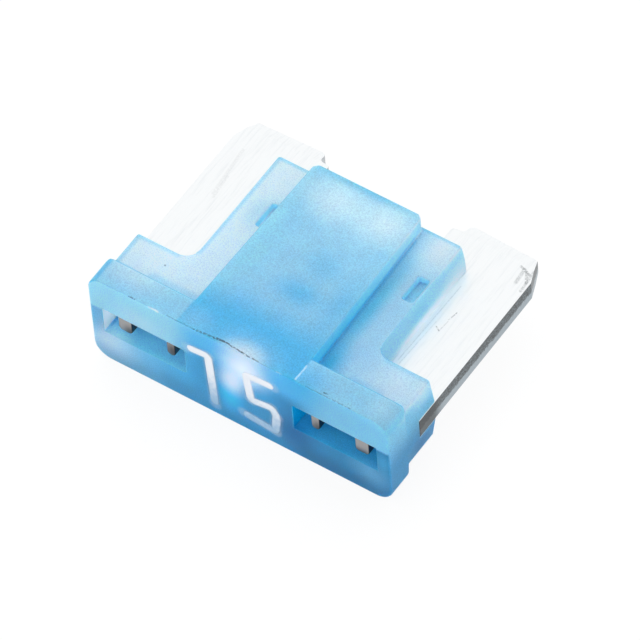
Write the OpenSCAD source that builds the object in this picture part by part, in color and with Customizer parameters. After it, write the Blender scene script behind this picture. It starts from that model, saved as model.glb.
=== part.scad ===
// Low-profile plug-in blade fuse, lying flat on one broad side.
// +X runs across the two blades, +Y from the head's face to the blade tips, +Z up.
// The shapes are drawn about the mid-plane of the blades with the head's face at Y = 0,
// and placed() then sets the part down on Z = 0 with its middle on the axis.

/* [Overall] */
// Width over the head's ends, which the blades' outer edges are flush with
head_w = 10.9; // [10.5:0.05:12]
// Length from the head's face to the blade tips
overall_l = 8.73; // [8.5:0.01:10]

/* [Head] */
// Thickness of the ledge at the head's face
ledge_t = 3.81; // [3.2:0.01:4.4]
// Length of the ledge's flat top
ledge_l = 0.95; // [0.6:0.01:1.4]
// Length of the slope from the ledge's top down to the shoulder
ledge_slope = 0.28; // [0.05:0.01:0.5]
// Radius of the ledge's long end edges
ledge_round = 0.62; // [0.1:0.01:0.8]
// Thickness of the shoulder and the wings
shoulder_t = 2.68; // [2:0.01:3.1]
// Length of the shoulder from the head's face
shoulder_l = 2.5; // [2:0.01:3.2]
// How far each head end leans in between the blade and the shoulder's top
end_draft = 0.15; // [0:0.01:0.3]
// Radius of the head's upright corners at the face
face_round = 0.1; // [0.02:0.01:0.4]

/* [Wings] */
// Width over the wings where they meet the blades
wing_w = 7.1; // [7:0.05:8]
// How far each wing's side leans in between the blade and the wing's top
wing_draft = 0.22; // [0:0.01:0.3]
// Leg of the chamfer on the wings' upright corners at the blade end
wing_chamfer = 0.14; // [0.05:0.01:0.4]
// Radius of the hollow between the wing and the shoulder
root_fillet = 0.5; // [0.1:0.01:0.7]

/* [Box] */
// Thickness of the central box, which is the thickness of the part
box_t = 3.81; // [3.7:0.01:4.4]
// Width of the box at the head's face
box_front_w = 4.3; // [3.8:0.05:4.6]
// Width of the box at the blade end
box_rear_w = 3.94; // [3.6:0.02:4.3]
// Length of the box and the wings from the head's face
box_l = 7.22; // [6.8:0.01:7.6]
// Leg of the chamfer on the box's upright corners at the blade end
box_chamfer = 0.15; // [0.05:0.01:0.3]
// Wall on each side of the cavity, at the blade end
side_wall = 0.52; // [0.3:0.01:0.7]
// Wall above and below the cavity
broad_wall = 0.6; // [0.3:0.01:0.9]
// Wall between the head's face and the cavity
face_wall = 1.65; // [1.2:0.05:2]

/* [Test windows] */
// Thickness of the solid post between each window and the head's end
post_w = 0.455; // [0.3:0.005:0.6]
// Width of each window
window_w = 3.05; // [2.8:0.01:3.2]
// Room in the window above and below the stubs
window_room = 0.17; // [0.05:0.01:0.3]
// Depth of each window
window_d = 1; // [0.6:0.05:1.2]
// Thickness of the web behind each window
window_web = 0.3; // [0.2:0.01:0.4]

/* [Stakes] */
// Distance of each stake hole's centre from the wing's side
stake_edge = 0.89; // [0.8:0.01:1]
// How far the staking tool stood off centre, towards +X
stake_shift = 0.38; // [0:0.01:0.4]
// Distance of the stakes from the head's face
stake_y = 5.12; // [4.8:0.01:5.4]
// Width of each stake
stake_w = 0.36; // [0.2:0.01:0.4]
// Length of each stake
stake_l = 0.95; // [0.6:0.01:1]
// Depth of the recess that the staking leaves
stake_d = 0.25; // [0.05:0.01:0.5]
// Corner radius of each stake
stake_round = 0.08; // [0.02:0.01:0.1]

/* [Fuse element] */
// Thickness of the strip
blade_t = 0.8; // [0.6:0.01:0.9]
// Width of each blade at its tip
blade_w = 2.8; // [2.5:0.05:3]
// Length of the taper at each blade's outer tip corner
taper_l = 1; // [0.2:0.05:1.2]
// Width of the taper at each blade's outer tip corner
taper_w = 0.34; // [0.05:0.01:0.6]
// How far the tip's edge falls back from its inner to its outer end
tip_slant = 0.1; // [0:0.01:0.3]
// Radius of each blade's inner tip corner
tip_round = 0.2; // [0.05:0.01:0.3]
// Length of the coined lead-in on both faces of each tip
coin_l = 0.5; // [0.1:0.01:0.7]
// Depth of the coined lead-in on each face
coin_d = 0.16; // [0.02:0.01:0.25]
// How far the seat plate stands inward of the blade
plate_step = 0.4; // [0.2:0.01:0.5]
// How far behind the tip the seat plate ends
plate_back = 0.42; // [0.3:0.01:0.9]
// Radius of the two turns where the plate steps to the blade
step_round = 0.16; // [0.05:0.01:0.2]
// Metal left round each stake hole
hole_wall = 0.25; // [0.15:0.01:0.3]
// Length of the plate's narrow front bar, which carries the stubs
bar_l = 0.3; // [0.15:0.01:0.5]
// Distance between the two test stubs of one blade
stub_pitch = 1.68; // [1.4:0.02:1.9]
// Thickness of the stubs
stub_t = 0.72; // [0.4:0.01:0.8]
// Radius of the stubs' long edges
stub_round = 0.14; // [0.02:0.01:0.15]
// Width of the outer stubs
stub_outer_w = 0.5; // [0.3:0.01:0.6]
// Width of the inner stubs
stub_inner_w = 0.3; // [0.2:0.01:0.5]
// How far the stubs' ends lie behind the head's face
stub_back = 0.2; // [0:0.01:0.5]
// Thickness of the fusible link
link_t = 0.3; // [0.15:0.01:0.5]
// Width of the fusible link
link_w = 0.42; // [0.25:0.01:0.6]
// Mean radius of the link's arch
link_r = 0.75; // [0.6:0.01:0.85]
// Length of the link's straight legs
link_leg = 0.8; // [0.3:0.01:1]

/* [Fit] */
// Clearance between the element and the plastic round it
seat_gap = 0.02; // [0.01:0.005:0.06]

/* [Hidden] */
$fn = 64;
// How far cuts run out of the solid, and how far joined shapes run into each other
over = 1;
bite = 0.1;
// Distance from the head's face to the foot of the ledge's slope
ledge_back = ledge_l + ledge_slope;
// The strip's top face, and the seat slot's top, above the mid-plane
blade_z = blade_t / 2;
slot_z = blade_z + seat_gap;
// Distances of the blade's edges from the middle plane of the part
blade_out = head_w / 2;
blade_in = blade_out - blade_w;
plate_in = blade_in - plate_step;
// The windows, and the plate's front bar that lies behind each of them
window_out = head_w / 2 - post_w;
window_in = window_out - window_w;
window_h = blade_t + 2 * window_room;
bar_y = window_d + window_web + seat_gap;
// Where the plate has its full width, and where it ends beside the tip
plate_y = bar_y + bar_l;
plate_end_y = overall_l - plate_back;
// The cavity, and the thickness that the part lies on
cavity_w = box_rear_w - 2 * side_wall;
cavity_h = box_t - 2 * broad_wall;
part_t = max(box_t, ledge_t, shoulder_t);
// The stake holes are wide enough for a stake that stands off centre
stake_x = wing_w / 2 - stake_edge;
hole_r = norm([abs(stake_shift) + stake_w / 2, stake_l / 2]) + seat_gap;
lobe_r = hole_r + hole_wall;
// The link's legs meet the plates beside the stake holes
link_y = stake_y - link_leg;

module placed() {
  translate([0, -overall_l / 2, part_t / 2])
    children();
}

module both_sides() {
  children();
  mirror([1, 0, 0])
    children();
}

module rounded_rect(w, l, r) {
  square([w - 2 * r, l], center = true);
  square([w, l - 2 * r], center = true);
  for (x = [-1, 1], y = [-1, 1])
    translate([x * (w / 2 - r), y * (l / 2 - r)])
      circle(r);
}

// What is left between a square corner at the origin and an arc of radius r,
// on the +X +Y side of the corner
module corner_sliver(r) {
  difference() {
    square(r);
    translate([r, r])
      circle(r);
  }
}

// Square that stands on its point about the origin, and cuts a chamfer with that leg
module corner_wedge(leg) {
  rotate(45)
    square(sqrt(2) * leg, center = true);
}

// Section of the shoulder or the wings across X and Z: full width at the blade,
// leaning in above and below it
module leaning_section(w, lean) {
  half = w / 2;
  top = half - lean;
  z = shoulder_t / 2;
  polygon([
    [half, -blade_z], [half, blade_z], [top, z], [-top, z],
    [-half, blade_z], [-half, -blade_z], [-top, -z], [top, -z]
  ]);
}

// Section drawn in X and Z, run along +Y from one distance to another
module run_back(from, to) {
  translate([0, to, 0])
    rotate([90, 0, 0])
      linear_extrude(to - from)
        children();
}

// Outline drawn in X and Y, spread to equal height above and below the mid-plane
module spread(t) {
  linear_extrude(t, center = true)
    children();
}

// Side view of the ledge, run across the whole width
module ledge_side() {
  top = ledge_t / 2;
  foot = shoulder_t / 2;
  translate([-head_w / 2, 0, 0])
    rotate([90, 0, 90])
      linear_extrude(head_w)
        polygon([
          [0, -top], [ledge_l, -top], [ledge_back, -foot],
          [ledge_back, foot], [ledge_l, top], [0, top]
        ]);
}

// The slope's upright corners are cut back as far as the slope is long
module ledge() {
  difference() {
    intersection() {
      run_back(0, ledge_back)
        rounded_rect(head_w, ledge_t, ledge_round);
      ledge_side();
    }
    both_sides()
      translate([head_w / 2, ledge_back, 0])
        spread(ledge_t + over)
          corner_wedge(ledge_slope);
  }
}

module head() {
  difference() {
    union() {
      ledge();
      run_back(0, shoulder_l)
        leaning_section(head_w, end_draft);
    }
    both_sides()
      translate([head_w / 2, 0, 0])
        mirror([1, 0, 0])
          spread(ledge_t + over)
            corner_sliver(face_round);
  }
}

module wings() {
  wing_top = wing_w / 2 - wing_draft;
  difference() {
    run_back(ledge_l, box_l)
      leaning_section(wing_w, wing_draft);
    both_sides()
      translate([wing_w / 2, box_l, 0])
        spread(shoulder_t + over)
          corner_wedge(wing_chamfer);
  }
  both_sides()
    translate([wing_top, shoulder_l, 0])
      spread(shoulder_t)
        corner_sliver(root_fillet);
}

module box() {
  front = box_front_w / 2;
  rear = box_rear_w / 2;
  end = rear - box_chamfer;
  side_l = box_l - box_chamfer;
  spread(box_t)
    polygon([
      [-front, 0], [front, 0], [rear, side_l], [end, box_l], [-end, box_l], [-rear, side_l]
    ]);
}

// Seat slot of one side: narrow behind the window, open to the side past the end post,
// and open towards the cavity
module seat_slot() {
  reach = box_l + over;
  spread(2 * slot_z) {
    translate([window_in - seat_gap, bar_y - seat_gap])
      square([window_w + 2 * seat_gap, reach - bar_y]);
    translate([plate_in - seat_gap, plate_y - seat_gap])
      square([head_w, reach - plate_y]);
    translate([0, face_wall])
      square([head_w / 2, reach - face_wall]);
  }
}

// Two rounded stubs that run forward from the plate's front bar
module stubs(gap) {
  for (side = [-1, 1]) {
    w = side > 0 ? stub_outer_w : stub_inner_w;
    translate([(window_in + window_out + side * stub_pitch) / 2, 0, 0])
      run_back(stub_back, bar_y + bite)
        rounded_rect(w + 2 * gap, stub_t + 2 * gap, stub_round + gap);
  }
}

module window() {
  translate([window_in, -over, -window_h / 2])
    cube([window_w, over + window_d, window_h]);
  stubs(seat_gap);
}

module cavity() {
  translate([-cavity_w / 2, face_wall, -cavity_h / 2])
    cube([cavity_w, box_l + over - face_wall, cavity_h]);
}

module at_stakes() {
  for (side = [-1, 1])
    translate([side * stake_x + stake_shift, stake_y, 0])
      children();
}

module stake_pins() {
  at_stakes()
    spread(2 * slot_z + 2 * bite)
      rounded_rect(stake_w, stake_l, stake_round);
}

module stake_recesses() {
  for (side = [-1, 1])
    translate([0, 0, side * (shoulder_t / 2 - stake_d / 2 + over / 2)])
      at_stakes()
        spread(stake_d + over)
          rounded_rect(stake_w, stake_l, stake_round);
}

module housing() {
  color([0.5, 0.76, 0.94])
    placed()
      difference() {
        union() {
          difference() {
            union() {
              head();
              wings();
              box();
            }
            both_sides() {
              seat_slot();
              window();
            }
            cavity();
          }
          stake_pins();
        }
        stake_recesses();
      }
}

// Outline of one blade with its seat plate
module blade_outline() {
  difference() {
    union() {
      polygon([
        [blade_in, plate_y], [blade_in, overall_l], [blade_in + tip_round, overall_l],
        [blade_out - taper_w, overall_l - tip_slant], [blade_out, overall_l - taper_l],
        [blade_out, plate_y]
      ]);
      translate([plate_in, plate_y])
        square([plate_step + bite, plate_end_y - plate_y]);
      translate([window_in, bar_y])
        square([window_w, bar_l + bite]);
      translate([blade_in, plate_end_y])
        mirror([1, 0])
          corner_sliver(step_round);
      translate([stake_x, stake_y])
        circle(lobe_r);
    }
    translate([stake_x, stake_y])
      circle(hole_r);
    translate([blade_in, overall_l])
      mirror([0, 1])
        corner_sliver(tip_round);
    translate([plate_in, plate_end_y])
      mirror([0, 1])
        corner_sliver(step_round);
  }
}

// Wedge off one face of the tips, which makes the lead-in
module coined_wedge() {
  translate([-head_w / 2 - over, 0, 0])
    rotate([90, 0, 90])
      linear_extrude(head_w + 2 * over)
        polygon([
          [overall_l - coin_l, blade_z], [overall_l, blade_z - coin_d],
          [overall_l + over, blade_z - coin_d], [overall_l + over, blade_z + over],
          [overall_l - coin_l, blade_z + over]
        ]);
}

module link_outline() {
  inner = link_r - link_w / 2;
  outer = link_r + link_w / 2;
  translate([0, link_y])
    difference() {
      circle(outer);
      circle(inner);
      translate([-outer - over, bite])
        square([2 * (outer + over), outer + over]);
    }
  for (side = [0, 1])
    mirror([side, 0]) {
      translate([inner, link_y])
        square([link_w, link_leg + link_w / 2]);
      translate([inner, stake_y - link_w / 2])
        square([stake_x - hole_r - hole_wall / 2 - inner, link_w]);
    }
}

module fuse_element() {
  color([0.83, 0.85, 0.86])
    placed() {
      difference() {
        spread(blade_t)
          both_sides()
            blade_outline();
        coined_wedge();
        mirror([0, 0, 1])
          coined_wedge();
      }
      both_sides()
        stubs(0);
      spread(link_t)
        link_outline();
    }
}

housing();
fuse_element();
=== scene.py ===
"""Low-profile plug-in blade fuse lying on a plain pale floor, seen from the photograph's view.

Sizes are in millimetres in the drawing frame of the part, with the head's face at Y = 0 and
the blades' mid-plane at Z = 0. at() turns such a point into the frame's metres. A value named
FADE is a pair: a mask is 0 at the first number, 1 at the second, and smooth between them.
"""
import math

import bmesh
import bpy
from mathutils import Matrix, Vector


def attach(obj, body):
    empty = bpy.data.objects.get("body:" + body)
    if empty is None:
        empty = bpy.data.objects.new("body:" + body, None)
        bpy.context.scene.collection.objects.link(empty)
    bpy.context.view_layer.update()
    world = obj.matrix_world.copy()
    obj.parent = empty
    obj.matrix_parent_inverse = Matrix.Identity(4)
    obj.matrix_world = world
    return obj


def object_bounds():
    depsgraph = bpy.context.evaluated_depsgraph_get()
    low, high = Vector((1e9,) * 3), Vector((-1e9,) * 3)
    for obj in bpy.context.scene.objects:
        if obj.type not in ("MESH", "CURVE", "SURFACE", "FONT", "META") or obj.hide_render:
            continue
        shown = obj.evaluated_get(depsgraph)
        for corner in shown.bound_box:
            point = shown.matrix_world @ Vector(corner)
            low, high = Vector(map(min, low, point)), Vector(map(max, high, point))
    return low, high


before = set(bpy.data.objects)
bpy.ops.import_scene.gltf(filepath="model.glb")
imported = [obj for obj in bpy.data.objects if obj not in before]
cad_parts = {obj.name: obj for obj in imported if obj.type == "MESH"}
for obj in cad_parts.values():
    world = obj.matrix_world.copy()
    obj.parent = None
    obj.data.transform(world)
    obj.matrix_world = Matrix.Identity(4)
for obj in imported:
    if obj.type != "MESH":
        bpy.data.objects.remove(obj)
cad_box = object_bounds()

MM = 0.001
scene = bpy.context.scene
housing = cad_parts["housing"]
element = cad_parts["fuse_element"]

# The drawing's origin: middle of the part, plane of the head's face, mid-plane of the blades
ORIGIN = Vector((
    (cad_box[0].x + cad_box[1].x) / 2,
    cad_box[0].y,
    (cad_box[0].z + cad_box[1].z) / 2,
))


def at(x, y, z):
    """A point of the drawing, in the frame's metres."""
    return ORIGIN + Vector((x, y, z)) * MM


# Camera
IMAGE_SIZE = 640
SENSOR = 36.0
CLIP_START = 0.01
CLIP_END = 10.0
CAMERA_AZIMUTH = math.radians(37.87)
CAMERA_ELEVATION = math.radians(52.59)
CAMERA_ROLL = math.radians(-4.92)
CAMERA_DISTANCE = 240.0
PIXELS_PER_MM = 33.06
CAMERA_TARGET = (0.0, 4.0, 0.0)
OFFSET_RIGHT = -0.204
OFFSET_UP = 0.631


def make_camera():
    a, e, r = CAMERA_AZIMUTH, CAMERA_ELEVATION, CAMERA_ROLL
    back = Vector((math.sin(a) * math.cos(e), -math.cos(a) * math.cos(e), math.sin(e)))
    level = Vector((math.cos(a), math.sin(a), 0.0))
    over = back.cross(level)
    right = level * math.cos(r) + over * math.sin(r)
    up = over * math.cos(r) - level * math.sin(r)
    away = back * CAMERA_DISTANCE - right * OFFSET_RIGHT - up * OFFSET_UP
    data = bpy.data.cameras.new("camera")
    data.sensor_width = SENSOR
    data.lens = PIXELS_PER_MM * CAMERA_DISTANCE * SENSOR / IMAGE_SIZE
    data.clip_start = CLIP_START
    data.clip_end = CLIP_END
    camera = bpy.data.objects.new("camera", data)
    turn = Matrix((right, up, back)).transposed()
    camera.matrix_world = Matrix.Translation(at(*CAMERA_TARGET) + away * MM) @ turn.to_4x4()
    scene.collection.objects.link(camera)
    scene.camera = camera


# How many times wider a streak is than its full core
STREAK_CORE = 3


class Graph:
    """A node tree, with one short call for each kind of node used here."""

    def __init__(self, tree):
        self.tree = tree

    def put(self, socket, value):
        if isinstance(value, bpy.types.NodeSocket):
            self.tree.links.new(value, socket)
        else:
            socket.default_value = value

    def fill(self, node, inputs):
        for key, value in inputs.items():
            self.put(node.inputs[key], value)

    def add(self, kind, inputs=None, **settings):
        node = self.tree.nodes.new(kind)
        for key, value in settings.items():
            setattr(node, key, value)
        self.fill(node, inputs or {})
        return node

    def math(self, operation, *values):
        return self.add("ShaderNodeMath", dict(enumerate(values)), operation=operation).outputs[0]

    def product(self, result, *others):
        for value in others:
            result = self.math("MULTIPLY", result, value)
        return result

    def vector(self, operation, *values):
        node = self.add("ShaderNodeVectorMath", dict(enumerate(values)), operation=operation)
        return node.outputs["Value" if operation in ("LENGTH", "DOT_PRODUCT") else "Vector"]

    def scale(self, vector, factor):
        inputs = {0: vector, "Scale": factor}
        return self.add("ShaderNodeVectorMath", inputs, operation="SCALE").outputs[0]

    def drawing(self, where=None):
        """The shaded point, or the one given, in the drawing's millimetres."""
        where = where or self.add("ShaderNodeTexCoord").outputs["Object"]
        return self.vector("MULTIPLY_ADD", where, (1 / MM,) * 3, tuple(-ORIGIN / MM))

    def normal(self):
        return self.add("ShaderNodeNewGeometry").outputs["Normal"]

    def parts(self, vector):
        return list(self.add("ShaderNodeSeparateXYZ", {0: vector}).outputs)

    def step(self, value, start, end):
        """0 before start, 1 past end, and smooth between them."""
        inputs = {"Value": value, "From Min": start, "From Max": end}
        return self.add("ShaderNodeMapRange", inputs, interpolation_type="SMOOTHSTEP").outputs[0]

    def noise(self, vector, scale, detail, roughness=0.5):
        inputs = {"Vector": vector, "Scale": scale, "Detail": detail, "Roughness": roughness}
        return self.add("ShaderNodeTexNoise", inputs).outputs[0]

    def mix(self, share, a, b):
        return self.add("ShaderNodeMix", {0: share, 6: a, 7: b}, data_type="RGBA").outputs[2]

    def lay(self, tint, cover, mask, share):
        """The tint with a cover mixed over it, by the given share of the mask."""
        return self.mix(self.math("MULTIPLY", mask, share), tint, cover)

    def blob(self, vector, centre, radii):
        """1 at the centre, falling to 0 on an ellipsoid about it."""
        away = self.vector("SUBTRACT", vector, centre)
        scaled = self.vector("DIVIDE", away, radii)
        return self.step(self.vector("LENGTH", scaled), 1.0, 0.0)

    def streak(self, vector, start, end, radius):
        """1 along the line from start to end, falling to 0 at the radius round it."""
        line = Vector(end) - Vector(start)
        away = self.vector("SUBTRACT", vector, start)
        share = self.vector("DOT_PRODUCT", away, tuple(line / line.length_squared))
        share = self.math("MINIMUM", self.math("MAXIMUM", share, 0.0), 1.0)
        off = self.vector("SUBTRACT", away, self.scale(tuple(line), share))
        return self.step(self.vector("LENGTH", off), radius, radius / STREAK_CORE)


def new_material(name):
    material = bpy.data.materials.new(name)
    material.use_nodes = True
    material.cycles.emission_sampling = "NONE"
    shader = material.node_tree.nodes["Principled BSDF"]
    return material, Graph(material.node_tree), shader


def dress(node, material):
    node.data.materials.clear()
    node.data.materials.append(material)


# Rounded edges
PLASTIC_ROUND = 0.07
METAL_ROUND = 0.035
EDGE_SEGMENTS = 2
ROUND_ANGLE = math.radians(40)
CREASE_ANGLE = math.radians(15)
FLAT_ANGLE = math.radians(0.5)
WELD_REACH = 0.001
# Boxes in which the edges stay sharp, on both sides of the part: centre, reach
SHARP_PLACES = (
    ((3.33, 2.97, 1.34), (0.2, 0.2, 0.2)),
    ((3.47, 0.0, 0.0), (1.7, 0.05, 0.7)),
    ((5.2, 2.2, 0.0), (0.6, 1.0, 0.5)),
    ((5.4, 1.0, 0.86), (0.1, 0.1, 0.1)),
    ((5.235, 1.165, 1.34), (0.05, 0.05, 0.05)),
    ((2.75, 4.5, 0.455), (3.0, 5.0, 0.045)),
)


def free_shading():
    """Node group that drops the stored shading, keeps creases sharp and marks edges to round."""
    tree = bpy.data.node_groups.new("free_shading", "GeometryNodeTree")
    for way in ("INPUT", "OUTPUT"):
        tree.interface.new_socket("Geometry", in_out=way, socket_type="NodeSocketGeometry")
    g = Graph(tree)
    mesh = g.add("NodeGroupInput").outputs[0]
    for name in ("custom_normal", "sharp_edge", "sharp_face"):
        mesh = g.add("GeometryNodeRemoveAttribute", {0: mesh, "Name": name}).outputs[0]
    mesh = g.add("GeometryNodeMergeByDistance", {0: mesh, "Distance": WELD_REACH * MM}).outputs[0]
    angle = g.add("GeometryNodeInputMeshEdgeAngle").outputs["Unsigned Angle"]
    crease = g.math("GREATER_THAN", angle, CREASE_ANGLE)
    inputs = {0: mesh, "Selection": crease, "Shade Smooth": False}
    mesh = g.add("GeometryNodeSetShadeSmooth", inputs, domain="EDGE").outputs[0]
    where = g.vector("ABSOLUTE", g.drawing(g.add("GeometryNodeInputPosition").outputs[0]))
    weight = g.math("GREATER_THAN", angle, ROUND_ANGLE)
    for centre, reach in SHARP_PLACES:
        away = g.vector("ABSOLUTE", g.vector("SUBTRACT", where, centre))
        past_x, past_y, past_z = g.parts(g.vector("SUBTRACT", away, reach))
        furthest = g.math("MAXIMUM", g.math("MAXIMUM", past_x, past_y), past_z)
        weight = g.math("MULTIPLY", weight, g.math("GREATER_THAN", furthest, 0.0))
    inputs = {0: mesh, "Name": "bevel_weight_edge", "Value": weight}
    mesh = g.add("GeometryNodeStoreNamedAttribute", inputs, domain="EDGE").outputs[0]
    g.add("NodeGroupOutput", {0: mesh})
    return tree


def soften(node, shading, width):
    """Rounds the sharp edges of a node, and shades it smooth."""
    node.modifiers.new("free_shading", "NODES").node_group = shading
    flat = node.modifiers.new("flat_faces", "DECIMATE")
    flat.decimate_type = "DISSOLVE"
    flat.angle_limit = FLAT_ANGLE
    bevel = node.modifiers.new("round_edges", "BEVEL")
    bevel.width = width * MM
    bevel.segments = EDGE_SEGMENTS
    bevel.limit_method = "WEIGHT"
    bevel.use_clamp_overlap = False
    bevel.harden_normals = True
    bevel.loop_slide = False
    node.modifiers.new("even_shading", "WEIGHTED_NORMAL").keep_sharp = True


def colour(red, green, blue):
    """Linear colour for display values from 0 to 255."""
    def linear(value):
        v = value / 255
        return v / 12.92 if v <= 0.04045 else ((v + 0.055) / 1.055) ** 2.4
    return (linear(red), linear(green), linear(blue), 1.0)


# Value about which the noises vary
NOISE_MIDDLE = 0.5

# Sizes of the part that the colours follow
BOX_HALF_FRONT = 2.15
BOX_HALF_REAR = 1.97
BOX_L = 7.22
LEDGE_BACK = 1.23
TOP_Z = 1.905
WING_Z = 1.34
BLADE_Z = 0.4
WINDOW_BACK = 0.75
WINDOW_SIDE = 5.1
WINDOW_TOP = 0.6
EDGE_BLUR = 0.06
WINDOW_BLUR = 0.1

# Tints of the frosted plastic, with light and shade painted into them: paler on the left and where
# light comes through, deeper on the right, low down and in recesses
BOX_BLUE = colour(165, 221, 245)
BOX_DEEP = colour(80, 195, 235)
DEEP_BLUE = colour(70, 191, 233)
PALE_BLUE = colour(232, 246, 253)
WHITE = colour(255, 255, 255)
SNOW = colour(238, 252, 255)
WING_LEFT = colour(226, 243, 253)
WING_RIGHT = colour(180, 224, 248)
LEDGE_BLUE = colour(160, 220, 247)
WALL_FRONT = colour(104, 214, 246)
WALL_REAR = colour(175, 230, 248)
SIDE_BLUE = colour(168, 226, 250)
END_LOW = colour(66, 150, 194)
END_HIGH = colour(144, 215, 240)
FACE_LEFT = colour(122, 188, 223)
FACE_MID = colour(68, 170, 218)
FACE_RIGHT = colour(16, 120, 167)
BAND_LEFT = colour(172, 230, 253)
BAND_RIGHT = colour(140, 214, 245)
BAND_MID = colour(98, 198, 243)
FLOOR_LEFT = colour(138, 218, 254)
FLOOR_RIGHT = colour(54, 166, 212)
WINDOW_TEAL = colour(0, 172, 222)
DEEP_TEAL = colour(0, 108, 165)
AQUA = colour(54, 202, 255)
FOOT_TEAL = colour(0, 196, 232)
FOOT_BLUE = colour(80, 212, 242)
LOW_BLUE = colour(12, 144, 190)
LEFT_BLUE = colour(162, 230, 255)

# Where one tint turns into the next, across (X), back from the face (Y) and up (Z)
MIDDLE_FADE_X = (-1.0, 1.0)
BOX_FADE_Y = (2.6, 1.0)
LEDGE_FADE_Y = (LEDGE_BACK, LEDGE_BACK - 0.3)
FACE_LEFT_FADE_X = (-4.2, -2.0)
FACE_RIGHT_FADE_X = (0.7, 2.4)
FACE_TOP_FADE_Z = (0.4, 1.3)
FACE_BACK_FADE_Y = (0.8, 0.6)
BAND_MIDDLE_X = 0.25
BAND_FADE_X = (1.7, 2.9)
BAND_FADE_Z = (WINDOW_TOP - 0.15, WINDOW_TOP)
WALL_FADE_Y = (2.5, 6.8)
WALL_TOP_FADE_Z = (TOP_Z - 0.35, TOP_Z)
WALL_TOP_SHARE = 0.7
SIDE_FADE_X = (2.4, 2.7)
END_FADE_X = (4.6, 5.0)
END_FADE_Z = (-0.5, 1.3)
LIP_FADE_Y = (0.02, 0.06)

# Which way a face looks, by the parts of its normal
STEEP_FADE = (0.75, 0.45)
FORWARD_FADE = (-0.6, -0.9)
TURNED_FADE = (0.2, 0.5)
ROUND_LOW_FADE = (0.2, 0.4)
ROUND_HIGH_FADE = (0.97, 0.85)

# Painted shade and highlight on rounded edges, which are deeper or paler than the faces beside them
# by the way they face
EDGE_SHADE = 0.75
EDGE_HIGHLIGHT = 0.4
HIGHLIGHT_EDGE_FADE_Y = (5.0, BOX_L)

# White digits on the head's face: points across and up the face, joined by rounded strokes
STROKE_W = 0.31
STROKE_H = 0.03
STROKE_TURN = 0.16
STROKE_STEP = 0.02
STROKE_TIP = 0.15
TURN_STEPS = 8
RING = 10
DIGITS = {
    "digit_one": ((-1.82, 0.84), (-1.06, 0.92), (-0.96, -1.42)),
    "digit_five": (
        (1.32, 1.01), (0.31, 0.95), (0.43, -0.23), (1.2, -0.1),
        (1.35, -0.42), (1.25, -1.23), (0.1, -1.09),
    ),
}
HALO_REACH = 0.29
HALO_SHARE = 0.3
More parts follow.
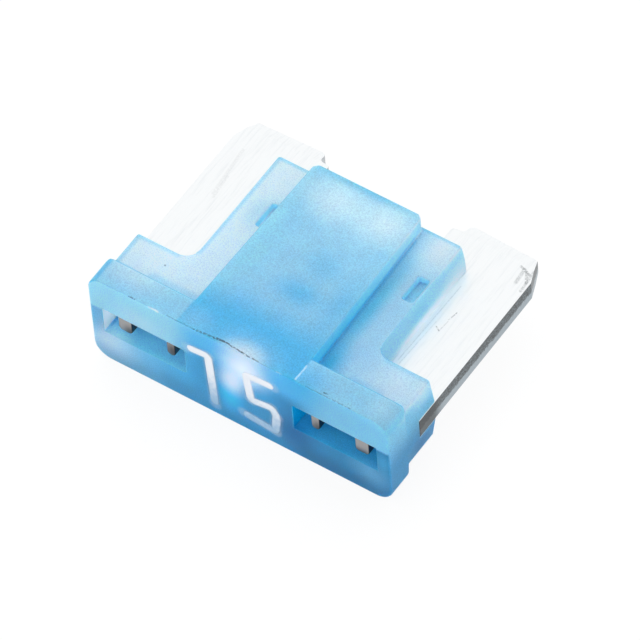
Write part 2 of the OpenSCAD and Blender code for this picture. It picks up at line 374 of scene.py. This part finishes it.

# Soft washes of painted light and shade over the plastic: paler where light comes through it and off
# the metal under it, deeper where shade falls: tint, centre, radii, share
LIGHT_AND_SHADE_WASHES = (
    (PALE_BLUE, (-0.7, 6.35, TOP_Z), (1.6, 1.2, 0.4), 0.7),
    (PALE_BLUE, (1.3, 6.35, TOP_Z), (1.6, 1.2, 0.4), 0.75),
    (PALE_BLUE, (0.3, 6.2, TOP_Z), (2.4, 1.6, 0.4), 0.3),
    (DEEP_BLUE, (0.0, 7.3, TOP_Z), (3.0, 0.5, 0.4), 0.8),
    (DEEP_BLUE, (0.5, 4.0, TOP_Z), (1.0, 0.9, 0.4), 0.4),
    (LEFT_BLUE, (-1.6, 3.6, TOP_Z), (0.9, 3.0, 0.3), 0.7),
    (DEEP_BLUE, (0.4, 2.8, TOP_Z), (1.3, 0.75, 0.4), 0.75),
    (DEEP_BLUE, (1.8, 3.0, TOP_Z), (0.9, 1.8, 0.4), 0.5),
    (BOX_BLUE, (-1.7, 0.3, TOP_Z), (1.0, 0.8, 0.4), 0.5),
    (BOX_BLUE, (-2.3, 5.15, WING_Z), (0.3, 0.8, 0.5), 0.9),
    (BOX_BLUE, (-2.6, 5.1, WING_Z), (0.6, 1.0, 0.2), 0.45),
    (SNOW, (-2.7, 6.7, WING_Z), (1.0, 1.4, 0.3), 0.8),
    (SNOW, (-4.3, 2.0, WING_Z), (1.4, 1.0, 0.3), 0.7),
    (FOOT_BLUE, (2.3, 3.8, WING_Z), (0.5, 3.4, 0.2), 0.8),
    (FOOT_TEAL, (2.4, 1.4, WING_Z), (0.7, 1.4, 0.22), 0.85),
    (FOOT_BLUE, (3.04, 5.1, WING_Z - 0.2), (0.4, 0.75, 0.25), 0.5),
    (SNOW, (2.9, 6.8, WING_Z), (1.0, 1.5, 0.3), 0.95),
    (PALE_BLUE, (4.7, 1.7, WING_Z), (1.9, 1.5, 0.3), 0.85),
    (SNOW, (3.6, 6.7, 0.8), (0.3, 1.6, 0.9), 0.95),
    (DEEP_BLUE, (3.65, 4.7, 1.0), (0.4, 0.8, 0.5), 0.7),
    (WHITE, (3.55, 4.9, 0.4), (0.4, 3.2, 0.4), 0.85),
    (PALE_BLUE, (-4.2, 0.8, TOP_Z), (1.8, 0.9, 0.4), 0.55),
    (PALE_BLUE, (5.1, 0.6, TOP_Z), (0.9, 0.9, 0.5), 0.3),
    (DEEP_BLUE, (2.4, 0.0, TOP_Z), (1.2, 1.2, 1.8), 0.75),
    (PALE_BLUE, (5.4, 2.1, 1.2), (0.5, 1.0, 0.6), 0.6),
    (PALE_BLUE, (-3.6, 0.0, 0.9), (1.3, 0.4, 0.7), 0.3),
    (PALE_BLUE, (-4.9, 0.0, -0.9), (1.5, 0.6, 1.2), 0.6),
    (END_LOW, (-2.2, 0.0, -1.3), (1.3, 0.4, 0.8), 0.6),
    (LOW_BLUE, (0.2, 0.0, -1.8), (3.0, 0.4, 0.6), 0.75),
    (DEEP_TEAL, (1.9, 0.0, -0.8), (0.9, 0.4, 1.0), 0.8),
    (END_LOW, (5.2, 0.0, -1.3), (1.2, 0.6, 1.0), 0.5),
    (DEEP_TEAL, (5.45, 1.8, -0.9), (0.5, 0.9, 0.9), 0.7),
    (SIDE_BLUE, (4.7, 0.0, -0.8), (1.1, 0.4, 1.0), 0.18),
    (BOX_DEEP, (5.22, 0.0, -0.05), (0.4, 0.3, 0.8), 0.5),
    (DEEP_BLUE, (-5.4, 0.0, -0.3), (0.4, 0.5, 0.9), 0.4),
    (AQUA, (-0.4, 0.0, -0.7), (0.8, 0.4, 0.9), 0.9),
    (WHITE, (-0.25, 0.0, 0.25), (0.75, 0.5, 0.9), 0.7),
    (PALE_BLUE, (0.3, 0.0, TOP_Z), (1.7, 1.2, 0.6), 0.3),
    (WHITE, (0.3, 0.0, TOP_Z), (1.1, 0.75, 0.5), 0.5),
    (WHITE, (0.25, 0.0, 1.2), (1.3, 0.8, 1.2), 0.9),
)

# Painted shade: deeper lines along the edges of the shoulders and wings, and at the feet of the
# ledge's rear wall and of the box's wall: start, end, radius, share
SHADE_LINES = (
    ((-5.3, 1.2, WING_Z), (-5.3, 2.5, WING_Z), 0.24, 0.45),
    ((-5.3, 2.5, WING_Z), (-3.83, 2.5, WING_Z), 0.22, 0.4),
    ((-3.36, 2.9, WING_Z), (-3.33, 7.2, WING_Z), 0.22, 0.45),
    ((-3.33, 7.2, WING_Z), (-2.0, 7.2, WING_Z), 0.18, 0.5),
    ((-3.9, 1.25, WING_Z), (-2.2, 1.25, WING_Z), 0.35, 0.35),
    ((2.12, 1.3, WING_Z), (1.98, 6.6, WING_Z), 0.16, 0.6),
    ((3.83, 2.5, WING_Z), (5.3, 2.5, WING_Z), 0.22, 0.35),
    ((2.0, 7.2, WING_Z), (3.33, 7.2, WING_Z), 0.16, 0.5),
    ((3.4, 1.25, WING_Z), (4.2, 1.25, WING_Z), 0.3, 0.2),
)


def box_colour(g, y):
    """The box's blue, which is deeper near the head."""
    return g.mix(g.step(y, *BOX_FADE_Y), BOX_BLUE, BOX_DEEP)


def level_colour(g, x, y):
    """Tints of the level faces: the box's top, the ledge, and the wings with their shoulders."""
    narrowing = (BOX_HALF_FRONT - BOX_HALF_REAR) / BOX_L
    outside = g.math("SUBTRACT", g.math("ABSOLUTE", x), BOX_HALF_FRONT)
    in_box = g.step(g.math("MULTIPLY_ADD", y, narrowing, outside), EDGE_BLUR, -EDGE_BLUR)
    wings = g.mix(g.step(x, *MIDDLE_FADE_X), WING_LEFT, WING_RIGHT)
    low = g.mix(g.step(y, *LEDGE_FADE_Y), wings, LEDGE_BLUE)
    return g.mix(in_box, low, box_colour(g, y))


def face_colour(g, x, z):
    """Painted light and shade on the head's face: paler at the left and towards its top, and paler
    again in the bands over the windows.
    """
    face = g.mix(g.step(x, *FACE_LEFT_FADE_X), FACE_LEFT, FACE_MID)
    face = g.mix(g.step(x, *FACE_RIGHT_FADE_X), face, FACE_RIGHT)
    face = g.mix(g.step(z, *FACE_TOP_FADE_Z), face, BAND_MID)
    band = g.mix(g.step(x, *MIDDLE_FADE_X), BAND_LEFT, BAND_RIGHT)
    aside = g.math("ABSOLUTE", g.math("SUBTRACT", x, BAND_MIDDLE_X))
    over = g.product(g.step(z, *BAND_FADE_Z), g.step(aside, *BAND_FADE_X))
    return g.mix(over, face, band)


def upright_colour(g, x, y, z, normal_y):
    """Tints of the faces that stand upright, from the box's walls out to the head's ends, with
    painted shade that makes them deeper low down.
    """
    side = g.math("ABSOLUTE", x)
    walls = g.mix(g.step(y, *WALL_FADE_Y), WALL_FRONT, WALL_REAR)
    walls = g.lay(walls, box_colour(g, y), g.step(z, *WALL_TOP_FADE_Z), WALL_TOP_SHARE)
    walls = g.mix(g.step(side, *SIDE_FADE_X), walls, SIDE_BLUE)
    ends = g.mix(g.step(z, *END_FADE_Z), END_LOW, END_HIGH)
    walls = g.mix(g.step(side, *END_FADE_X), walls, ends)
    facing = g.product(g.step(normal_y, *FORWARD_FADE), g.step(y, *FACE_BACK_FADE_Y))
    return g.mix(facing, walls, face_colour(g, x, z))


def window_colour(g, x, steep):
    """Painted light and shade inside the windows: pale on the left, deep on the right."""
    right = g.step(x, *MIDDLE_FADE_X)
    floors = g.mix(right, FLOOR_LEFT, FLOOR_RIGHT)
    walls = g.mix(right, SNOW, WINDOW_TEAL)
    return g.mix(steep, floors, walls)


def in_window(g, x, y, z, steep):
    """1 behind the face, within the windows' reach."""
    return g.product(
        g.math("MAXIMUM", g.step(y, *LIP_FADE_Y), g.math("SUBTRACT", 1.0, steep)),
        g.step(y, WINDOW_BACK + WINDOW_BLUR, WINDOW_BACK),
        g.step(g.math("ABSOLUTE", x), WINDOW_SIDE + WINDOW_BLUR, WINDOW_SIDE),
        g.step(g.math("ABSOLUTE", z), WINDOW_TOP + WINDOW_BLUR, WINDOW_TOP),
    )


def edge_shade_and_highlight(g, y, tint, normal):
    """Deepens the rounded upper edges that face left or back with painted shade, and pales those that
    face right with a painted highlight.
    """
    nx, ny, nz = normal
    rounded = g.product(g.step(nz, *ROUND_LOW_FADE), g.step(nz, *ROUND_HIGH_FADE))
    away = g.step(g.math("MAXIMUM", g.math("MULTIPLY", nx, -1.0), ny), *TURNED_FADE)
    tint = g.lay(tint, DEEP_BLUE, g.product(rounded, away), EDGE_SHADE)
    near = g.product(rounded, g.step(nx, *TURNED_FADE), g.step(y, *HIGHLIGHT_EDGE_FADE_Y))
    return g.lay(tint, WHITE, near, EDGE_HIGHLIGHT)


def plastic_colour(g, p):
    """The plastic's tint, with light and shade painted in, and a mask that is 1 on the faces that
    stand upright.
    """
    x, y, z = g.parts(p)
    normal = g.parts(g.normal())
    steep = g.step(g.math("ABSOLUTE", normal[2]), *STEEP_FADE)
    # Painted shade: the faces that stand upright take their own, mostly deeper tints
    tint = g.mix(steep, level_colour(g, x, y), upright_colour(g, x, y, z, normal[1]))
    tint = g.mix(in_window(g, x, y, z, steep), tint, window_colour(g, x, steep))
    for wash, centre, radii, share in LIGHT_AND_SHADE_WASHES:
        tint = g.lay(tint, wash, g.blob(p, centre, radii), share)
    for points in DIGITS.values():
        for (start_x, start_z), (end_x, end_z) in zip(points, points[1:]):
            halo = g.streak(p, (start_x, 0.0, start_z), (end_x, 0.0, end_z), HALO_REACH)
            tint = g.lay(tint, PALE_BLUE, halo, HALO_SHARE)
    for start, end, radius, share in SHADE_LINES:
        tint = g.lay(tint, DEEP_BLUE, g.streak(p, start, end, radius), share)
    return edge_shade_and_highlight(g, y, tint, normal), steep


# Dirt and specks on the plastic, and painted highlights along its top edges in the white rows:
# colour, start, end, radius, share
SOOT = colour(60, 70, 85)
DIRT_AND_HIGHLIGHTS = (
    (SOOT, (-2.5, 0.02, TOP_Z), (-1.5, 0.03, TOP_Z), 0.04, 0.4),
    (SOOT, (-1.5, 0.03, TOP_Z), (-0.8, 0.09, TOP_Z), 0.045, 0.75),
    (SOOT, (-0.8, 0.09, TOP_Z), (-0.45, 0.13, TOP_Z), 0.06, 0.9),
    (SOOT, (-0.45, 0.13, TOP_Z), (0.2, 0.07, TOP_Z), 0.04, 0.9),
    (SOOT, (0.2, 0.07, TOP_Z), (0.8, 0.02, TOP_Z), 0.04, 0.8),
    (SOOT, (0.8, 0.02, TOP_Z), (1.2, 0.01, TOP_Z), 0.035, 0.4),
    (SOOT, (2.5, 0.01, TOP_Z), (4.1, 0.02, TOP_Z), 0.045, 0.55),
    (SOOT, (-3.88, 0.02, TOP_Z), (-3.68, 0.03, TOP_Z), 0.045, 0.7),
    (SOOT, (3.13, 0.11, TOP_Z), (3.23, 0.12, TOP_Z), 0.05, 0.6),
    (SOOT, (-3.9, 1.9, WING_Z), (-3.89, 1.9, WING_Z), 0.045, 0.6),
    (WHITE, (-3.16, 0.0, TOP_Z), (-2.82, 0.0, TOP_Z - 0.03), 0.06, 0.6),
    (WHITE, (1.48, 0.0, TOP_Z), (1.67, 0.0, TOP_Z), 0.045, 0.9),
    (WHITE, (2.12, 0.09, TOP_Z), (2.14, 0.67, TOP_Z), 0.045, 0.45),
)
MARK_WANDER = 0.06
MARK_WANDER_SCALE = 6.0
MARK_BREAK_SCALE = 11.0
MARK_BREAK_FADE = (0.3, 0.52)
MARK_DETAIL = 3.0


def add_dirt_and_highlights(g, p, tint, clear):
    """Lays the dirt and the painted highlights on the tint as broken, wandering lines, and makes the
    plastic dull there.
    """
    drift = g.math("SUBTRACT", g.noise(p, MARK_WANDER_SCALE, MARK_DETAIL), NOISE_MIDDLE)
    near = g.vector("ADD", p, g.math("MULTIPLY", drift, MARK_WANDER))
    broken = g.step(g.noise(p, MARK_BREAK_SCALE, MARK_DETAIL), *MARK_BREAK_FADE)
    for mark, start, end, radius, share in DIRT_AND_HIGHLIGHTS:
        mask = g.product(g.streak(near, start, end, radius), broken, share)
        tint = g.mix(mask, tint, mark)
        clear = g.math("MULTIPLY", clear, g.math("SUBTRACT", 1.0, mask))
    return tint, clear


# Frosted blue plastic
CLEARNESS = 0.5
# Painted glow given off by the faces that stand upright
INNER_LIGHT = 0.15
# Painted glow: light given off by the plastic at its brightest places: centre, radii, strength
GLOWS = (
    ((0.25, 0.0, 0.9), (1.3, 0.8, 1.2), 0.26),
    ((-0.3, 0.0, -0.1), (0.75, 0.5, 1.2), 0.22),
    ((3.55, 5.0, 0.4), (0.4, 3.0, 0.5), 0.16),
    ((-3.8, 3.8, WING_Z), (2.6, 4.5, 0.3), 0.08),
    ((-4.95, 0.4, 0.1), (0.5, 0.6, 0.7), 0.2),
    ((-3.5, 0.4, -0.4), (1.8, 0.7, 0.6), 0.04),
    ((-4.5, 0.3, -0.55), (0.7, 0.5, 0.25), 0.12),
    ((-4.9, 0.0, -0.9), (1.2, 0.5, 0.8), 0.05),
    ((-2.45, 5.1, 1.15), (0.4, 0.75, 0.4), 0.1),
    ((3.04, 5.1, 1.2), (0.35, 0.65, 0.3), 0.06),
)
# Fine grain and faint clouds in the plastic
GRAIN_SCALE = 26.0
GRAIN_DETAIL = 1.0
GRAIN_SHADE = 0.8
GRAIN_DEPTH = 0.006
GRAIN_BUMP = 0.4
CLOUD_SCALE = 1.7
CLOUD_DETAIL = 3.0
CLOUD_SHADE = 0.2
PLASTIC_ROUGHNESS = 0.5
PLASTIC_SPECULAR = 0.25
PLASTIC_IOR = 1.5
SCATTER_RADIUS = (0.5, 0.8, 1.0)
SCATTER_SCALE = 0.6
ABSORPTION_COLOUR = (0.083, 0.783, 0.967, 1.0)
ABSORPTION_DENSITY = 350.0


def plastic_material():
    material, g, shader = new_material("frosted_plastic")
    p = g.drawing()
    tint, steep = plastic_colour(g, p)
    grain = g.noise(p, GRAIN_SCALE, GRAIN_DETAIL)
    cloud = g.noise(p, CLOUD_SCALE, CLOUD_DETAIL)
    shade = g.product(
        g.math("MULTIPLY_ADD", grain, GRAIN_SHADE, 1.0 - GRAIN_SHADE / 2),
        g.math("MULTIPLY_ADD", cloud, CLOUD_SHADE, 1.0 - CLOUD_SHADE / 2),
    )
    tint, clear = add_dirt_and_highlights(g, p, g.scale(tint, shade), CLEARNESS)
    # Painted glow: emission on the upright faces and at the places listed in GLOWS
    light = g.math("MULTIPLY", steep, INNER_LIGHT)
    for centre, radii, strength in GLOWS:
        light = g.math("MULTIPLY_ADD", g.blob(p, centre, radii), strength, light)
    inputs = {"Strength": GRAIN_BUMP, "Distance": GRAIN_DEPTH * MM, "Height": grain}
    bump = g.add("ShaderNodeBump", inputs)
    g.fill(shader, {
        "Base Color": tint,
        "Transmission Weight": clear,
        "Emission Color": tint,
        "Emission Strength": light,
        "Normal": bump.outputs[0],
        "Roughness": PLASTIC_ROUGHNESS,
        "Specular IOR Level": PLASTIC_SPECULAR,
        "IOR": PLASTIC_IOR,
        "Subsurface Weight": 1.0,
        "Subsurface Radius": SCATTER_RADIUS,
        "Subsurface Scale": SCATTER_SCALE * MM,
    })
    inputs = {"Color": ABSORPTION_COLOUR, "Density": ABSORPTION_DENSITY}
    volume = g.add("ShaderNodeVolumeAbsorption", inputs)
    g.put(material.node_tree.nodes["Material Output"].inputs["Volume"], volume.outputs[0])
    return material


# Plated metal strip
BRIGHT = (0.95, 0.97, 0.98, 1.0)
DULL = (0.72, 0.76, 0.79, 1.0)
SCRATCH = (0.25, 0.27, 0.28, 1.0)
# Lines left by the rolling of the strip, which run along the blades
BRUSH_STRETCH = (14.0, 0.9, 6.0)
BRUSH_SCALE = 1.0
BRUSH_DETAIL = 5.0
BRUSH_ROUGHNESS = 0.6
BRUSH_FADE = (0.45, 0.8)
BRUSH_SHARE = 0.35
BRUSH_DEPTH = 0.004
BRUSH_BUMP = 0.3
# Uneven patches and fine specks
PATCH_SCALE = 9.0
PATCH_DETAIL = 4.0
PATCH_ROUGHNESS = 0.7
SPECK_SCALE = 24.0
SPECK_DETAIL = 2.0
# Roughness of the metal, and how much more the patches add
SHINE_LEAST = 0.2
SHINE_RANGE = 0.25

# Cut sides of the strip: dark above the level, light below it
SHEAR_DARK = (0.03, 0.036, 0.037, 1.0)
SHEAR_LIGHT = (0.36, 0.42, 0.46, 1.0)
SHEAR_LEVEL = -0.05
SHEAR_BLUR = 0.04
SHEAR_WANDER = 0.4
SHEAR_PATCH_FADE = (0.4, 0.75)
SHEAR_PATCH_SHARE = 0.5
SHEAR_SPECK_FADE = (0.4, 0.7)
SHEAR_SPECK_SHARE = 0.4
# Painted shade on the cut sides near the head
SHEAR_SHADE_FADE_Y = (2.9, 2.3)
SHEAR_SHADE_SHARE = 0.8
UPRIGHT_FADE = (0.6, 0.3)
# Painted light on the left blade's inner edge, which is pale near its tip: centre, radii
LIT_SHEAR = ((-2.65, 8.2, 0.1), (0.5, 1.2, 0.9))
LIT_SHEAR_SHARE = 0.8

# Scratches and scuffs on the blades' tops: start, end, radius, share
SCRATCHES = (
    ((-4.7, 5.53, BLADE_Z), (-4.87, 7.4, BLADE_Z), 0.08, 0.12),
    ((-4.6, 5.4, BLADE_Z), (-4.68, 6.3, BLADE_Z), 0.06, 0.12),
    ((3.64, 3.2, BLADE_Z), (3.72, 6.5, BLADE_Z), 0.03, 0.22),
    ((3.74, 3.1, BLADE_Z), (3.82, 5.0, BLADE_Z), 0.025, 0.2),
    ((4.17, 5.6, BLADE_Z), (4.1, 5.25, BLADE_Z), 0.03, 0.6),
    ((4.12, 5.19, BLADE_Z), (4.08, 4.75, BLADE_Z), 0.02, 0.35),
    ((4.08, 4.75, BLADE_Z), (3.92, 4.85, BLADE_Z), 0.03, 0.6),
    ((4.85, 8.1, BLADE_Z), (5.25, 7.95, BLADE_Z), 0.06, 0.5),
    ((5.0, 8.05, BLADE_Z), (5.05, 7.5, BLADE_Z), 0.09, 0.4),
    ((5.12, 8.0, BLADE_Z), (5.33, 7.65, BLADE_Z), 0.07, 0.55),
    ((5.3, 8.15, BLADE_Z), (5.35, 7.3, BLADE_Z), 0.07, 0.45),
)
SCRATCH_FADE = (0.25, 0.6)

# Painted shade on the stubs in the windows: grey overall, dark on the sides that face right and at
# these places: centre, radii, share
STUB_SHADE_GREY = (0.36, 0.35, 0.35, 1.0)
STUB_SHADOW = (0.06, 0.055, 0.055, 1.0)
STUB_FADE_Y = (1.3, 1.1)
STUB_SIDE_FADE = (0.3, 0.8)
STUB_SHADES = (
    ((-4.1, 0.2, -0.25), (0.4, 0.6, 0.45), 0.8),
    ((-2.55, 0.2, -0.1), (0.4, 0.6, 0.6), 0.9),
    ((2.72, 0.2, -0.2), (0.3, 0.6, 0.45), 0.7),
    ((4.35, 0.2, -0.42), (0.5, 0.6, 0.4), 0.7),
)


def shear_colour(g, p, y, z, patches, specks):
    """Tints of the strip's cut sides, with painted light on the left blade's inner edge and painted
    shade near the head.
    """
    drift = g.math("SUBTRACT", patches, NOISE_MIDDLE)
    height = g.math("MULTIPLY_ADD", drift, SHEAR_WANDER, z)
    above = g.step(height, SHEAR_LEVEL - SHEAR_BLUR, SHEAR_LEVEL + SHEAR_BLUR)
    shear = g.mix(above, SHEAR_LIGHT, SHEAR_DARK)
    shear = g.lay(shear, SHEAR_LIGHT, g.step(patches, *SHEAR_PATCH_FADE), SHEAR_PATCH_SHARE)
    shear = g.lay(shear, SHEAR_LIGHT, g.step(specks, *SHEAR_SPECK_FADE), SHEAR_SPECK_SHARE)
    shear = g.lay(shear, DULL, g.blob(p, *LIT_SHEAR), LIT_SHEAR_SHARE)
    return g.lay(shear, SHEAR_DARK, g.step(y, *SHEAR_SHADE_FADE_Y), SHEAR_SHADE_SHARE)


def stub_colour(g, p, normal_x):
    """Painted shade on the stubs: grey, dark on the sides that face right, and darker at the places
    listed in STUB_SHADES.
    """
    stub = g.mix(g.step(normal_x, *STUB_SIDE_FADE), STUB_SHADE_GREY, STUB_SHADOW)
    for centre, radii, share in STUB_SHADES:
        stub = g.lay(stub, STUB_SHADOW, g.blob(p, centre, radii), share)
    return stub


def metal_material():
    material, g, shader = new_material("plated_metal")
    p = g.drawing()
    y, z = g.parts(p)[1:]
    normal = g.parts(g.normal())
    stretched = g.vector("MULTIPLY", p, BRUSH_STRETCH)
    brushed = g.noise(stretched, BRUSH_SCALE, BRUSH_DETAIL, BRUSH_ROUGHNESS)
    patches = g.noise(p, PATCH_SCALE, PATCH_DETAIL, PATCH_ROUGHNESS)
    specks = g.noise(p, SPECK_SCALE, SPECK_DETAIL)
    tint = g.lay(BRIGHT, DULL, g.step(brushed, *BRUSH_FADE), BRUSH_SHARE)
    broken = g.step(specks, *SCRATCH_FADE)
    for start, end, radius, share in SCRATCHES:
        mask = g.product(g.streak(p, start, end, radius), broken)
        tint = g.lay(tint, SCRATCH, mask, share)
    upright = g.step(g.math("ABSOLUTE", normal[2]), *UPRIGHT_FADE)
    tint = g.mix(upright, tint, shear_colour(g, p, y, z, patches, specks))
    tint = g.mix(g.step(y, *STUB_FADE_Y), tint, stub_colour(g, p, normal[0]))
    inputs = {"Strength": BRUSH_BUMP, "Distance": BRUSH_DEPTH * MM, "Height": brushed}
    bump = g.add("ShaderNodeBump", inputs)
    g.fill(shader, {
        "Base Color": tint,
        "Roughness": g.math("MULTIPLY_ADD", patches, SHINE_RANGE, SHINE_LEAST),
        "Normal": bump.outputs[0],
        "Metallic": 1.0,
    })
    return material


def rounded_path(points):
    """Points a short step apart along the strokes, with each inner corner turned by a curve."""
    knots = [Vector(p) for p in points]
    path = [knots[0]]
    for before, corner, after in zip(knots, knots[1:], knots[2:]):
        start = corner + (before - corner).normalized() * STROKE_TURN
        end = corner + (after - corner).normalized() * STROKE_TURN
        for i in range(TURN_STEPS + 1):
            t = i / TURN_STEPS
            path.append(start * (1 - t) ** 2 + corner * 2 * t * (1 - t) + end * t ** 2)
    path.append(knots[-1])
    fine = []
    for a, b in zip(path, path[1:]):
        count = max(1, round((b - a).length / STROKE_STEP))
        fine += [a.lerp(b, i / count) for i in range(count)]
    return fine + [path[-1]]


def make_digit(name, points, material):
    """One stroke of ink with rounded ends, flat against the face and a little proud of it."""
    path = rounded_path(points)
    shape = bmesh.new()
    rings = []
    half = STROKE_W / 2
    for i, spot in enumerate(path):
        run = (path[min(i + 1, len(path) - 1)] - path[max(i - 1, 0)]).normalized()
        left = min(i, len(path) - 1 - i) * STROKE_STEP
        inset = max(0.0, half - left) / half
        swell = max(STROKE_TIP, math.sqrt(1 - inset ** 2))
        ring = []
        for k in range(RING):
            a = math.tau * k / RING
            across = half * swell * math.cos(a)
            rise = STROKE_H * swell * math.sin(a)
            point = at(spot.x - run.y * across, -rise, spot.y + run.x * across)
            ring.append(shape.verts.new(point))
        rings.append(ring)
    for a, b in zip(rings, rings[1:]):
        for k in range(RING):
            n = (k + 1) % RING
            shape.faces.new((a[k], a[n], b[n], b[k]))
    shape.faces.new(rings[0])
    shape.faces.new(rings[-1])
    bmesh.ops.recalc_face_normals(shape, faces=shape.faces)
    for face in shape.faces:
        face.smooth = True
    mesh = bpy.data.meshes.new(name)
    shape.to_mesh(mesh)
    shape.free()
    piece = bpy.data.objects.new(name, mesh)
    scene.collection.objects.link(piece)
    dress(piece, material)
    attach(piece, "root")


# White ink, bluer and darker towards the foot of the digits
INK_BRIGHT = colour(240, 244, 251)
INK_FOOT = colour(150, 190, 222)
INK_SCALE = 6.0
INK_DETAIL = 4.0
INK_WANDER = 1.2
INK_FADE_Z = (0.3, -1.4)
INK_ROUGHNESS = 0.5


def ink_material():
    material, g, shader = new_material("white_ink")
    p = g.drawing()
    drift = g.math("SUBTRACT", g.noise(p, INK_SCALE, INK_DETAIL), NOISE_MIDDLE)
    height = g.math("MULTIPLY_ADD", drift, INK_WANDER, g.parts(p)[2])
    tint = g.mix(g.step(height, *INK_FADE_Z), INK_BRIGHT, INK_FOOT)
    g.fill(shader, {"Base Color": tint, "Roughness": INK_ROUGHNESS})
    return material


# Light, floor and background
WORLD_LIGHT = 0.95
BACKGROUND = (1.0, 1.0, 1.0, 1.0)
KEY_POWER = 0.5
KEY_SIZE = 0.3
KEY_DISTANCE = 0.3
KEY_FROM = (-0.37, 0.48, 0.79)
FLOOR_SIZE = 1.0
FLOOR_GREY = (0.85, 0.85, 0.85, 1.0)
FLOOR_GLOW = 0.9
FLOOR_GAP = 0.01


def seen_directly(g):
    """1 for the rays that show the background: camera, glossy and transmission rays."""
    path = g.add("ShaderNodeLightPath").outputs
    either = g.math("MAXIMUM", path["Is Camera Ray"], path["Is Glossy Ray"])
    return g.math("MAXIMUM", either, path["Is Transmission Ray"])


def make_world():
    world = bpy.data.worlds.new("studio")
    world.use_nodes = True
    g = Graph(world.node_tree)
    strength = g.add("ShaderNodeMix", {0: seen_directly(g), 2: WORLD_LIGHT, 3: 1.0})
    background = world.node_tree.nodes["Background"]
    g.fill(background, {"Color": BACKGROUND, "Strength": strength.outputs[0]})
    scene.world = world


def make_key():
    data = bpy.data.lights.new("key", "AREA")
    data.energy = KEY_POWER
    data.size = KEY_SIZE
    light = bpy.data.objects.new("key", data)
    toward = Vector(KEY_FROM).normalized()
    light.location = at(*CAMERA_TARGET) + toward * KEY_DISTANCE
    light.rotation_mode = "QUATERNION"
    light.rotation_quaternion = toward.to_track_quat("Z", "Y")
    light.visible_glossy = False
    scene.collection.objects.link(light)


def floor_material():
    """Pale grey for the light it throws back, and near white with a faint shadow where it is seen."""
    material = bpy.data.materials.new("pale_floor")
    material.use_nodes = True
    nodes = material.node_tree.nodes
    nodes.remove(nodes["Principled BSDF"])
    g = Graph(material.node_tree)
    rest = 1.0 - FLOOR_GLOW
    plain = g.add("ShaderNodeBsdfDiffuse", {"Color": FLOOR_GREY}).outputs[0]
    faint = g.add("ShaderNodeBsdfDiffuse", {"Color": (rest, rest, rest, 1.0)}).outputs[0]
    glow = g.add("ShaderNodeEmission", {"Strength": FLOOR_GLOW}).outputs[0]
    shown = g.add("ShaderNodeAddShader", {0: faint, 1: glow}).outputs[0]
    either = g.add("ShaderNodeMixShader", {0: seen_directly(g), 1: plain, 2: shown})
    g.put(nodes["Material Output"].inputs["Surface"], either.outputs[0])
    return material


def make_floor():
    mesh = bpy.data.meshes.new("floor")
    h = FLOOR_SIZE / 2
    z = cad_box[0].z - FLOOR_GAP * MM
    mesh.from_pydata([(-h, -h, z), (h, -h, z), (h, h, z), (-h, h, z)], [], [(0, 1, 2, 3)])
    floor = bpy.data.objects.new("floor", mesh)
    scene.collection.objects.link(floor)
    dress(floor, floor_material())


make_camera()
make_world()
make_key()
make_floor()
shading = free_shading()
soften(housing, shading, PLASTIC_ROUND)
soften(element, shading, METAL_ROUND)
dress(housing, plastic_material())
dress(element, metal_material())
ink = ink_material()
for name, points in DIGITS.items():
    make_digit(name, points, ink)
scene.view_settings.view_transform = "Standard"
